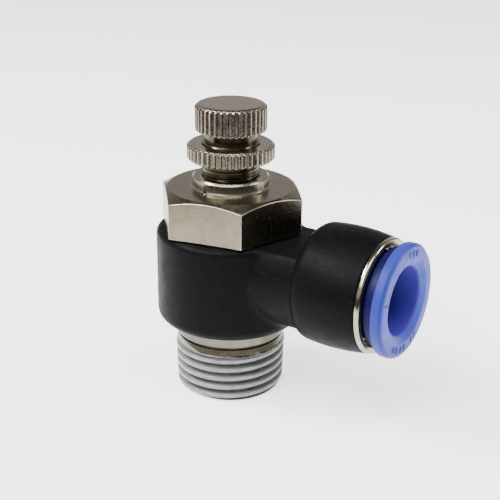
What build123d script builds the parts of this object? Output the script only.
from build123d import *
import math
import os

# Elbow flow control valve: a metal valve body with a tapered R1/2 stud, a needle with a
# knurled knob, and a moulded elbow with a push-in port for 12 mm tube that swivels on it.
# Millimetres. +Z up along the needle, +X out of the tube port, origin at the centre of
# the stud's end face.

# ---- driving dimensions -------------------------------------------------------------
# threaded stud
THREAD_PITCH = 1.814
THREAD_DEPTH = 1.0
THREAD_TAPER = 1 / 16
CREST_R0 = 10.12
STUD_BORE_R = 5.8
THREAD_START_Z = 0.3
BAND_Z = 9.4
BAND_R = 10.05
GROOVE_Z = 10.75
GROOVE_R = 9.8
FLANGE_Z = 11.42
FLANGE_R = 10.4
SPIGOT_Z = 13.65
SPIGOT_R = 7.48
SPIGOT_TOP = 15.9
RELIEF_Z = 13.5
RELIEF_R = 6.2

# valve body
SHANK_BOTTOM = 13.7
SHANK_R = 9.6
SPIGOT_BORE_R = 7.5
SPIGOT_BORE_TOP = 16.0
SHANK_BORE_R = 6.0
LOWER_GALLERY_R = 8.6
LOWER_GALLERY_Z = (15.95, 18.3)
SEAL_STEP_R = 9.3
SEAL_STEP_TOP = 18.8
GALLERY_R = 8.2
GALLERY_TOP = 28.2
CHECK_SEAL_Z = (18.95, 20.9)
O_RING_FLOOR_R = 8.35
LOWER_O_RING_Z = 14.75
UPPER_O_RING_Z = 30.1
O_RING_GROOVE = 1.5
LOWER_PORT_Z = 17.2
LOWER_PORT_R = 1.1
LOWER_PORTS = 6
CROSS_PORT_Z = 24.2
CROSS_PORT_R = 2.1
CROSS_PORTS = 4
HEX_BOTTOM = 32.0
HEX_TOP = 39.6
HEX_FLATS = 24.0
HEX_TURN = 11.6
HEX_TOP_R = 11.5
HEX_CHAMFER = 27.0
GUIDE_SHELF_Z = 34.6
GUIDE_BORE_R = 6.5

# needle, guide, knob and lock nut
STEM_PITCH = 0.75
STEM_R = 4.95
STEM_ROOT_R = 4.55
STEM_BOTTOM = 36.6
STEM_THREAD_TOP = 47.4
STEM_NECK_R = 4.72
STEM_TOP = 49.83
STEM_HOLE_R = 5.0
GUIDE_BOTTOM = 26.9
GUIDE_TOP = 41.7
GUIDE_SMOOTH_R = 4.6
COLLAR_R = 6.98
COLLAR_FOOT = 0.4
STAKE_R = 0.55
STAKE_TURN = -96.8
SEAT_Z = (18.6, 21.2)
ORIFICE_R = 3.5
NEEDLE_TIP_Z = 18.3
NEEDLE_RING_Z = 29.9
NUT_Z = (44.63, 47.56)
NUT_R = 7.98
NUT_TEETH = 44
KNOB_BOTTOM = 49.83
KNOB_RIM = 54.29
KNOB_TOP = 54.81
KNOB_R = 6.5
KNOB_TOP_R = 5.7
KNOB_TEETH = 38
KNOB_BOSS_R = 3.5
KNOB_BOSS_TOP = 53.2

# moulded elbow and its tube port
ELBOW_Z = (13.85, 31.75)
ELBOW_R = 13.75
ELBOW_BORE_R = 9.7
PORT_Z = 25.4
NECK_R = 9.6
NECK_START = 6
ELBOW_BOTTOM_ROUND = 2.2
ELBOW_TOP_ROUND = 1.2
NECK_ROUND = 1.5
HOUSING_X = (18.3, 31.5)
HOUSING_R = 10.95
HOUSING_END_R = 10.4
FLOW_R = 3.8
TUBE_R = 6.08
TUBE_STOP_X = 17.6
SEAL_POCKET_X = 21.0
SEAL_POCKET_R = 8.1
CLAW_POCKET_X = 24.3
CLAW_POCKET_R = 9.6
RING_FACE_X = 32.3
RING_R = 10.3
RING_BORE_R = 9.0
RING_LIP_X = 30.1
RING_LIP_THICKNESS = 0.28
RING_LIP_R = 7.95
CLAW_RIM_X = 26.95
CLAW_THICKNESS = 0.3
CLAW_TEETH = 12
CLAW_TIP_R = 5.95
SLEEVE_BORE_R = 6.1
SLEEVE_NECK_R = 7.85
SLEEVE_NOSE_X = 28.7
SLEEVE_BARB_R = 8.3
SLEEVE_COLLAR_X = 32.4
SLEEVE_COLLAR_R = 8.85
SLEEVE_FLANGE_X = (34.3, 36.5)
SLEEVE_FLANGE_R = 10.15

PORT_PLANE = Plane(origin=(0, 0, PORT_Z), x_dir=(0, 1, 0), z_dir=(1, 0, 0))
PORT_PROFILE = Plane(origin=(0, 0, PORT_Z), x_dir=(1, 0, 0), z_dir=(0, -1, 0))
PORT_AXIS = Axis((0, 0, PORT_Z), (1, 0, 0))

os.makedirs("parts", exist_ok=True)


def save(part, name):
    part.label = name
    export_step(part, f"parts/{name}.step")


def knurl_points(radius, depth, teeth):
    """Corners of a straight knurl: a closed star with one crest flat per tooth."""
    points = []
    step = 2 * math.pi / teeth
    for tooth in range(teeth):
        for shift, r in ((-0.30, radius - depth), (-0.16, radius), (0.16, radius), (0.30, radius - depth)):
            angle = (tooth + shift) * step
            points.append((r * math.cos(angle), r * math.sin(angle)))
    return points


def thread_points(bottom, top, pitch, crest, root, taper=0.0):
    """Half profile (radius, height) of a V thread drawn as rings, from bottom to top."""
    points = []
    turns = int((top - bottom) / pitch + 0.001)
    for turn in range(turns):
        z = bottom + turn * pitch
        grow = taper / 2 * (z - bottom)
        points.append((root + grow, z + 0.08 * pitch))
        points.append((crest + grow, z + 0.42 * pitch))
        points.append((crest + grow, z + 0.62 * pitch))
        points.append((root + grow, z + 0.96 * pitch))
    return points


def drill_planes(count, z):
    """Planes across a ring of radial holes, one for each opposite pair."""
    turns = [2 * math.pi * pair / count for pair in range(count // 2)]
    return [Plane(origin=(0, 0, z), x_dir=(0, 0, 1), z_dir=(math.cos(t), math.sin(t), 0)) for t in turns]


# ---- threaded stud ------------------------------------------------------------------
thread = thread_points(
    THREAD_START_Z, BAND_Z, THREAD_PITCH, CREST_R0, CREST_R0 - THREAD_DEPTH, THREAD_TAPER
)
with BuildPart() as threaded_stud:
    with BuildSketch(Plane.XZ):
        with BuildLine():
            Polyline(
                (STUD_BORE_R, 0),
                (CREST_R0 - THREAD_DEPTH, 0),
                *thread,
                (BAND_R - 0.5, BAND_Z),
                (BAND_R, BAND_Z + 0.4),
                (BAND_R, GROOVE_Z),
                (GROOVE_R, GROOVE_Z + 0.1),
                (GROOVE_R, FLANGE_Z - 0.1),
                (FLANGE_R, FLANGE_Z),
                (FLANGE_R, SPIGOT_Z),
                (SPIGOT_R, SPIGOT_Z),
                (SPIGOT_R, SPIGOT_TOP),
                (RELIEF_R, SPIGOT_TOP),
                (RELIEF_R, RELIEF_Z),
                (STUD_BORE_R, RELIEF_Z),
                close=True,
            )
        make_face()
    revolve(axis=Axis.Z)
save(threaded_stud.part, "threaded_stud")

# ---- valve body: hexagon above, ported shank below -----------------------------------
groove_half = O_RING_GROOVE / 2
# The punch mark that stakes the guide sits where the collar's foot meets the hexagon.
stake_angle = math.radians(STAKE_TURN)
stake_reach = COLLAR_R + 0.8 * COLLAR_FOOT
stake_place = (stake_reach * math.cos(stake_angle), stake_reach * math.sin(stake_angle), HEX_TOP + 0.05)
with BuildPart() as valve_body:
    with BuildSketch(Plane.XZ):
        with BuildLine():
            Polyline(
                (SPIGOT_BORE_R, SHANK_BOTTOM),
                (SHANK_R, SHANK_BOTTOM),
                (SHANK_R, LOWER_O_RING_Z - groove_half),
                (O_RING_FLOOR_R, LOWER_O_RING_Z - groove_half),
                (O_RING_FLOOR_R, LOWER_O_RING_Z + groove_half),
                (SHANK_R, LOWER_O_RING_Z + groove_half),
                (SHANK_R, LOWER_GALLERY_Z[0]),
                (LOWER_GALLERY_R, LOWER_GALLERY_Z[0]),
                (LOWER_GALLERY_R, LOWER_GALLERY_Z[1]),
                (SEAL_STEP_R, LOWER_GALLERY_Z[1]),
                (SEAL_STEP_R, SEAL_STEP_TOP),
                (GALLERY_R, SEAL_STEP_TOP),
                (GALLERY_R, GALLERY_TOP),
                (SHANK_R, GALLERY_TOP),
                (SHANK_R, UPPER_O_RING_Z - groove_half),
                (O_RING_FLOOR_R, UPPER_O_RING_Z - groove_half),
                (O_RING_FLOOR_R, UPPER_O_RING_Z + groove_half),
                (SHANK_R, UPPER_O_RING_Z + groove_half),
                (SHANK_R, HEX_BOTTOM + 1),
                (SHANK_BORE_R, HEX_BOTTOM + 1),
                (SHANK_BORE_R, SPIGOT_BORE_TOP),
                (SPIGOT_BORE_R, SPIGOT_BORE_TOP),
                close=True,
            )
        make_face()
    revolve(axis=Axis.Z)
    with BuildSketch(Plane.XY.offset(HEX_BOTTOM)):
        RegularPolygon(HEX_FLATS / 2, 6, major_radius=False, rotation=HEX_TURN)
        Circle(SHANK_BORE_R, mode=Mode.SUBTRACT)
    extrude(amount=HEX_TOP - HEX_BOTTOM)
    with BuildSketch(Plane.XY.offset(GUIDE_SHELF_Z)):
        Circle(GUIDE_BORE_R)
    extrude(amount=HEX_TOP - GUIDE_SHELF_Z, mode=Mode.SUBTRACT)
    with BuildSketch(Plane.XZ):
        with BuildLine():
            Polyline(
                (HEX_TOP_R, HEX_TOP),
                (HEX_TOP_R + 4, HEX_TOP - 4 * math.tan(math.radians(HEX_CHAMFER))),
                (HEX_TOP_R + 4, HEX_TOP + 1),
                (HEX_TOP_R, HEX_TOP + 1),
                close=True,
            )
        make_face()
    revolve(axis=Axis.Z, mode=Mode.SUBTRACT)
    drilled = ((CROSS_PORTS, CROSS_PORT_Z, CROSS_PORT_R), (LOWER_PORTS, LOWER_PORT_Z, LOWER_PORT_R))
    for count, z, radius in drilled:
        with BuildSketch(*drill_planes(count, z)):
            Circle(radius)
        extrude(amount=SHANK_R + 1, both=True, mode=Mode.SUBTRACT)
    with Locations(stake_place):
        Sphere(STAKE_R, mode=Mode.SUBTRACT)
save(valve_body.part, "valve_body")

# ---- seals on the shank --------------------------------------------------------------
O_RING_SECTION_R = 0.64
O_RING_MEAN_R = O_RING_FLOOR_R + O_RING_SECTION_R + 0.02


def o_ring_section(mean_r, z, section_r):
    """One round ring section, drawn on the XZ plane."""
    with Locations((mean_r, z)):
        Circle(section_r)


with BuildPart() as lower_o_ring:
    with BuildSketch(Plane.XZ):
        o_ring_section(O_RING_MEAN_R, LOWER_O_RING_Z, O_RING_SECTION_R)
    revolve(axis=Axis.Z)
save(lower_o_ring.part, "lower_o_ring")

with BuildPart() as upper_o_ring:
    with BuildSketch(Plane.XZ):
        o_ring_section(O_RING_MEAN_R, UPPER_O_RING_Z, O_RING_SECTION_R)
    revolve(axis=Axis.Z)
save(upper_o_ring.part, "upper_o_ring")

# The check seal is a U-section ring whose two lips point down.
with BuildPart() as check_seal:
    with BuildSketch(Plane.XZ):
        with BuildLine():
            Polyline(
                (GALLERY_R + 0.02, CHECK_SEAL_Z[1]),
                (9.45, CHECK_SEAL_Z[1]),
                (9.66, CHECK_SEAL_Z[0]),
                (9.4, CHECK_SEAL_Z[0]),
                (8.95, CHECK_SEAL_Z[0] + 0.95),
                (8.6, CHECK_SEAL_Z[0]),
                (GALLERY_R + 0.02, CHECK_SEAL_Z[0]),
                close=True,
            )
        make_face()
    revolve(axis=Axis.Z)
save(check_seal.part, "check_seal")

# ---- orifice seat, pressed into the shank --------------------------------------------
with BuildPart() as seat_ring:
    with BuildSketch(Plane.XZ):
        with BuildLine():
            Polyline(
                (ORIFICE_R, SEAT_Z[0] + 0.4),
                (ORIFICE_R + 0.4, SEAT_Z[0]),
                (SHANK_BORE_R - 0.02, SEAT_Z[0]),
                (SHANK_BORE_R - 0.02, SEAT_Z[1]),
                (ORIFICE_R, SEAT_Z[1]),
                close=True,
            )
        make_face()
    revolve(axis=Axis.Z)
save(seat_ring.part, "seat_ring")

# ---- needle guide, staked into the hexagon -------------------------------------------
GUIDE_RING_Z = 32.6
GUIDE_RING_FLOOR_R = 5.1
with BuildPart() as needle_guide:
    with BuildSketch(Plane.XZ):
        with BuildLine():
            Polyline(
                (GUIDE_SMOOTH_R, GUIDE_BOTTOM),
                (SHANK_BORE_R - 0.4, GUIDE_BOTTOM),
                (SHANK_BORE_R - 0.03, GUIDE_BOTTOM + 0.4),
                (SHANK_BORE_R - 0.03, GUIDE_RING_Z - 0.6),
                (GUIDE_RING_FLOOR_R, GUIDE_RING_Z - 0.6),
                (GUIDE_RING_FLOOR_R, GUIDE_RING_Z + 0.6),
                (SHANK_BORE_R - 0.03, GUIDE_RING_Z + 0.6),
                (SHANK_BORE_R - 0.03, GUIDE_SHELF_Z),
                (GUIDE_BORE_R - 0.02, GUIDE_SHELF_Z),
                (GUIDE_BORE_R - 0.02, HEX_TOP),
                (COLLAR_R + COLLAR_FOOT, HEX_TOP),
                (COLLAR_R + 0.3 * COLLAR_FOOT, HEX_TOP + 0.3 * COLLAR_FOOT),
                (COLLAR_R, HEX_TOP + COLLAR_FOOT),
                (COLLAR_R, GUIDE_TOP - 0.35),
                (COLLAR_R - 0.35, GUIDE_TOP),
                (STEM_HOLE_R + 0.5, GUIDE_TOP),
                (STEM_HOLE_R, GUIDE_TOP - 0.5),
                (STEM_HOLE_R, 34.5),
                (GUIDE_SMOOTH_R, 34.5),
                close=True,
            )
        make_face()
    revolve(axis=Axis.Z)
    with Locations(stake_place):
        Sphere(STAKE_R, mode=Mode.SUBTRACT)
save(needle_guide.part, "needle_guide")

with BuildPart() as guide_o_ring:
    with BuildSketch(Plane.XZ):
        o_ring_section(GUIDE_RING_FLOOR_R + 0.43, GUIDE_RING_Z, 0.42)
    revolve(axis=Axis.Z)
save(guide_o_ring.part, "guide_o_ring")

# ---- needle --------------------------------------------------------------------------
NEEDLE_GROOVE_R = 3.4
NEEDLE_LAND_R = 4.55
stem = thread_points(STEM_BOTTOM + 0.3, STEM_THREAD_TOP, STEM_PITCH, STEM_R, STEM_ROOT_R)
with BuildPart() as needle:
    with BuildSketch(Plane.XZ):
        with BuildLine():
            Polyline(
                (0, NEEDLE_TIP_Z),
                (1.5, NEEDLE_TIP_Z),
                (ORIFICE_R - 0.05, SEAT_Z[1] + 2.3),
                (4.0, SEAT_Z[1] + 2.8),
                (4.0, NEEDLE_RING_Z - 1.4),
                (NEEDLE_LAND_R, NEEDLE_RING_Z - 1.2),
                (NEEDLE_LAND_R, NEEDLE_RING_Z - 0.7),
                (NEEDLE_GROOVE_R, NEEDLE_RING_Z - 0.7),
                (NEEDLE_GROOVE_R, NEEDLE_RING_Z + 0.7),
                (NEEDLE_LAND_R, NEEDLE_RING_Z + 0.7),
                (NEEDLE_LAND_R, NEEDLE_RING_Z + 1.3),
                (4.2, NEEDLE_RING_Z + 1.6),
                (4.2, STEM_BOTTOM),
                *stem,
                (STEM_NECK_R, STEM_THREAD_TOP + 0.1),
                (STEM_NECK_R, STEM_TOP),
                (KNOB_BOSS_R, STEM_TOP),
                (KNOB_BOSS_R, KNOB_BOSS_TOP),
                (0, KNOB_BOSS_TOP),
                close=True,
            )
        make_face()
    revolve(axis=Axis.Z)
save(needle.part, "needle")

with BuildPart() as needle_o_ring:
    with BuildSketch(Plane.XZ):
        o_ring_section(NEEDLE_GROOVE_R + 0.58, NEEDLE_RING_Z, 0.56)
    revolve(axis=Axis.Z)
save(needle_o_ring.part, "needle_o_ring")

# ---- knob, pressed on the needle -----------------------------------------------------
with BuildPart() as knob:
    with BuildSketch(Plane.XY.offset(KNOB_BOTTOM)):
        with BuildLine():
            Polyline(*knurl_points(KNOB_R, 0.3, KNOB_TEETH), close=True)
        make_face()
    extrude(amount=KNOB_TOP - KNOB_BOTTOM)
    with BuildSketch(Plane.XZ):
        with BuildLine():
            Polyline(
                (0, KNOB_BOTTOM),
                (KNOB_R - 0.4, KNOB_BOTTOM),
                (KNOB_R + 0.1, KNOB_BOTTOM + 0.4),
                (KNOB_R + 0.1, KNOB_RIM),
                (KNOB_R - 0.25, KNOB_RIM),
            )
            ThreePointArc(
                (KNOB_R - 0.25, KNOB_RIM),
                (KNOB_TOP_R + 0.15, KNOB_TOP - 0.14),
                (KNOB_TOP_R - 0.6, KNOB_TOP),
            )
            Polyline((KNOB_TOP_R - 0.6, KNOB_TOP), (0, KNOB_TOP), (0, KNOB_BOTTOM))
        make_face()
    revolve(axis=Axis.Z, mode=Mode.INTERSECT)
    with BuildSketch(Plane.XY.offset(KNOB_BOTTOM)):
        Circle(KNOB_BOSS_R)
    extrude(amount=KNOB_BOSS_TOP - KNOB_BOTTOM, mode=Mode.SUBTRACT)
save(knob.part, "knob")

# ---- lock nut ------------------------------------------------------------------------
with BuildPart() as lock_nut:
    with BuildSketch(Plane.XY.offset(NUT_Z[0])):
        with BuildLine():
            Polyline(*knurl_points(NUT_R, 0.3, NUT_TEETH), close=True)
        make_face()
        Circle(STEM_HOLE_R, mode=Mode.SUBTRACT)
    extrude(amount=NUT_Z[1] - NUT_Z[0])
    with BuildSketch(Plane.XZ):
        with BuildLine():
            Polyline(
                (STEM_HOLE_R - 0.5, NUT_Z[0] - 0.1),
                (STEM_HOLE_R, NUT_Z[0] - 0.1),
                (STEM_HOLE_R + 0.4, NUT_Z[0]),
                (NUT_R - 0.45, NUT_Z[0]),
                (NUT_R + 0.1, NUT_Z[0] + 0.5),
                (NUT_R + 0.1, NUT_Z[1] - 0.45),
                (NUT_R - 0.5, NUT_Z[1]),
                (STEM_HOLE_R + 0.4, NUT_Z[1]),
                (STEM_HOLE_R - 0.5, NUT_Z[1] - 0.9),
                close=True,
            )
        make_face()
    revolve(axis=Axis.Z, mode=Mode.INTERSECT)
save(lock_nut.part, "lock_nut")

# ---- moulded elbow: swivel ring, neck and tube port ----------------------------------
# The ring's cylinders start opposite the port, so that their seam lines stay out of the neck.
ELBOW_PLANE = Plane(origin=(0, 0, ELBOW_Z[0]), x_dir=(-1, 0, 0), z_dir=(0, 0, 1))
with BuildPart() as elbow_body:
    with BuildSketch(ELBOW_PLANE):
        Circle(ELBOW_R)
    extrude(amount=ELBOW_Z[1] - ELBOW_Z[0])
    fillet(elbow_body.edges().group_by(Axis.Z)[0], radius=ELBOW_BOTTOM_ROUND)
    with BuildSketch(PORT_PLANE.offset(NECK_START)):
        Circle(NECK_R)
        with Locations((0, ELBOW_Z[1] - PORT_Z + NECK_R)):
            Rectangle(4 * NECK_R, 2 * NECK_R, mode=Mode.SUBTRACT)
    extrude(amount=HOUSING_X[0] + 1 - NECK_START)
    seams = elbow_body.edges().filter_by(GeomType.BSPLINE)
    fillet([seam for seam in seams if seam.length > 10], radius=NECK_ROUND)
    top_edges = elbow_body.edges().group_by(Axis.Z)[-1]
    fillet([edge for edge in top_edges if edge.center().X < HOUSING_X[0]], radius=ELBOW_TOP_ROUND)
    with BuildSketch(PORT_PROFILE):
        with BuildLine():
            Polyline(
                (HOUSING_X[0], 0),
                (HOUSING_X[0], HOUSING_R - 2.6),
            )
            ThreePointArc(
                (HOUSING_X[0], HOUSING_R - 2.6),
                (HOUSING_X[0] + 0.7, HOUSING_R - 0.9),
                (HOUSING_X[0] + 2.4, HOUSING_R - 0.15),
            )
            ThreePointArc(
                (HOUSING_X[0] + 2.4, HOUSING_R - 0.15),
                (HOUSING_X[1] - 5, HOUSING_R),
                (HOUSING_X[1] - 0.4, HOUSING_END_R),
            )
            Polyline(
                (HOUSING_X[1] - 0.4, HOUSING_END_R),
                (HOUSING_X[1], HOUSING_END_R - 0.3),
                (HOUSING_X[1], 0),
                (HOUSING_X[0], 0),
            )
        make_face()
    revolve(axis=PORT_AXIS)
    with BuildSketch(ELBOW_PLANE):
        Circle(ELBOW_BORE_R)
    extrude(amount=ELBOW_Z[1] - ELBOW_Z[0], mode=Mode.SUBTRACT)
    with BuildSketch(PORT_PROFILE):
        with BuildLine():
            Polyline(
                (8.5, 0),
                (8.5, FLOW_R),
                (TUBE_STOP_X, FLOW_R),
                (TUBE_STOP_X, TUBE_R),
                (SEAL_POCKET_X, TUBE_R),
                (SEAL_POCKET_X, SEAL_POCKET_R),
                (CLAW_POCKET_X, SEAL_POCKET_R),
                (CLAW_POCKET_X, CLAW_POCKET_R),
                (HOUSING_X[1], CLAW_POCKET_R),
                (HOUSING_X[1], 0),
                close=True,
            )
        make_face()
    revolve(axis=PORT_AXIS, mode=Mode.SUBTRACT)
save(elbow_body.part, "elbow_body")

# ---- tube seal and the rings that hold it --------------------------------------------
with BuildPart() as tube_seal:
    with BuildSketch(PORT_PROFILE):
        with BuildLine():
            Polyline(
                (SEAL_POCKET_X + 0.1, SEAL_POCKET_R - 0.03),
                (SEAL_POCKET_X + 0.1, 7.2),
                (SEAL_POCKET_X + 1.1, 6.9),
                (SEAL_POCKET_X + 0.3, 6.35),
                (SEAL_POCKET_X + 0.9, 5.95),
                (SEAL_POCKET_X + 1.7, 5.95),
                (SEAL_POCKET_X + 2.1, 6.4),
                (SEAL_POCKET_X + 3.1, 6.5),
                (SEAL_POCKET_X + 3.1, SEAL_POCKET_R - 0.03),
                close=True,
            )
        make_face()
    revolve(axis=PORT_AXIS)
save(tube_seal.part, "tube_seal")

with BuildPart() as seal_spacer:
    with BuildSketch(PORT_PROFILE):
        with BuildLine():
            Polyline(
                (CLAW_POCKET_X + 0.05, 6.3),
                (CLAW_POCKET_X + 0.05, CLAW_POCKET_R - 0.02),
                (CLAW_POCKET_X + 1.2, CLAW_POCKET_R - 0.02),
                (CLAW_POCKET_X + 1.2, 6.5),
                (CLAW_POCKET_X + 1.0, 6.3),
                close=True,
            )
        make_face()
    revolve(axis=PORT_AXIS)
save(seal_spacer.part, "seal_spacer")

# The claw seat backs the claw's rim and slopes away under its teeth.
with BuildPart() as claw_seat:
    with BuildSketch(PORT_PROFILE):
        with BuildLine():
            Polyline(
                (CLAW_POCKET_X + 1.25, 7.0),
                (CLAW_POCKET_X + 1.25, CLAW_POCKET_R - 0.02),
                (CLAW_RIM_X, CLAW_POCKET_R - 0.02),
                (CLAW_RIM_X, 8.75),
                close=True,
            )
        make_face()
    revolve(axis=PORT_AXIS)
save(claw_seat.part, "claw_seat")

# ---- lock claw: a flat rim with teeth that lean inward, away from the mouth -----------
with BuildPart() as lock_claw:
    with BuildSketch(PORT_PROFILE):
        with BuildLine():
            Polyline(
                (CLAW_RIM_X + 0.02, CLAW_POCKET_R - 0.05),
                (CLAW_RIM_X + 0.02, 8.65),
                (CLAW_RIM_X - 1.15, CLAW_TIP_R),
                (CLAW_RIM_X - 1.15 + CLAW_THICKNESS, CLAW_TIP_R),
                (CLAW_RIM_X + CLAW_THICKNESS, 8.55),
                (CLAW_RIM_X + CLAW_THICKNESS, CLAW_POCKET_R - 0.05),
                close=True,
            )
        make_face()
    revolve(axis=PORT_AXIS)
    with BuildSketch(PORT_PLANE.offset(CLAW_RIM_X - 2)):
        with PolarLocations(7.2, CLAW_TEETH):
            SlotOverall(3.6, 0.9)
    extrude(amount=4, mode=Mode.SUBTRACT)
save(lock_claw.part, "lock_claw")

# ---- guide ring: nickel-plated ring pressed into the mouth ---------------------------
RING_ROUND = 0.45
with BuildPart() as guide_ring:
    with BuildSketch(PORT_PROFILE):
        with BuildLine():
            Polyline(
                (CLAW_RIM_X + CLAW_THICKNESS + 0.03, 8.75),
                (CLAW_RIM_X + CLAW_THICKNESS + 0.03, CLAW_POCKET_R - 0.02),
                (HOUSING_X[1], CLAW_POCKET_R - 0.02),
                (HOUSING_X[1], RING_R),
                (RING_FACE_X - RING_ROUND, RING_R),
            )
            RadiusArc(
                (RING_FACE_X - RING_ROUND, RING_R),
                (RING_FACE_X, RING_R - RING_ROUND),
                RING_ROUND,
            )
            Polyline(
                (RING_FACE_X, RING_R - RING_ROUND),
                (RING_FACE_X, RING_BORE_R + 0.25),
                (RING_FACE_X - 0.25, RING_BORE_R),
                (RING_LIP_X + RING_LIP_THICKNESS, RING_BORE_R),
                (RING_LIP_X + RING_LIP_THICKNESS, RING_LIP_R),
                (RING_LIP_X, RING_LIP_R),
                (RING_LIP_X, 8.75),
                (CLAW_RIM_X + CLAW_THICKNESS + 0.03, 8.75),
            )
        make_face()
    revolve(axis=PORT_AXIS)
save(guide_ring.part, "guide_ring")

# ---- release sleeve ------------------------------------------------------------------
SLEEVE_ROUND = 1.15
SLEEVE_BARB_X = SLEEVE_NOSE_X + 0.4
with BuildPart() as release_sleeve:
    with BuildSketch(PORT_PROFILE):
        with BuildLine():
            Polyline(
                (SLEEVE_NOSE_X, SLEEVE_BORE_R),
                (SLEEVE_NOSE_X, 6.9),
                (SLEEVE_BARB_X, 7.2),
                (SLEEVE_BARB_X, SLEEVE_BARB_R - 0.3),
                (SLEEVE_BARB_X + 0.3, SLEEVE_BARB_R),
                (SLEEVE_BARB_X + 0.9, SLEEVE_BARB_R),
                (SLEEVE_BARB_X + 0.9, SLEEVE_NECK_R),
                (SLEEVE_COLLAR_X, SLEEVE_NECK_R),
                (SLEEVE_COLLAR_X, SLEEVE_COLLAR_R - 0.15),
                (SLEEVE_COLLAR_X + 0.15, SLEEVE_COLLAR_R),
                (SLEEVE_FLANGE_X[0], SLEEVE_COLLAR_R),
                (SLEEVE_FLANGE_X[0], SLEEVE_FLANGE_R - 0.3),
                (SLEEVE_FLANGE_X[0] + 0.3, SLEEVE_FLANGE_R),
                (SLEEVE_FLANGE_X[1] - SLEEVE_ROUND, SLEEVE_FLANGE_R),
            )
            RadiusArc(
                (SLEEVE_FLANGE_X[1] - SLEEVE_ROUND, SLEEVE_FLANGE_R),
                (SLEEVE_FLANGE_X[1], SLEEVE_FLANGE_R - SLEEVE_ROUND),
                SLEEVE_ROUND,
            )
            Polyline(
                (SLEEVE_FLANGE_X[1], SLEEVE_FLANGE_R - SLEEVE_ROUND),
                (SLEEVE_FLANGE_X[1], SLEEVE_BORE_R + 0.5),
                (SLEEVE_FLANGE_X[1] - 0.6, SLEEVE_BORE_R),
                (SLEEVE_NOSE_X, SLEEVE_BORE_R),
            )
        make_face()
    revolve(axis=PORT_AXIS)
save(release_sleeve.part, "release_sleeve")
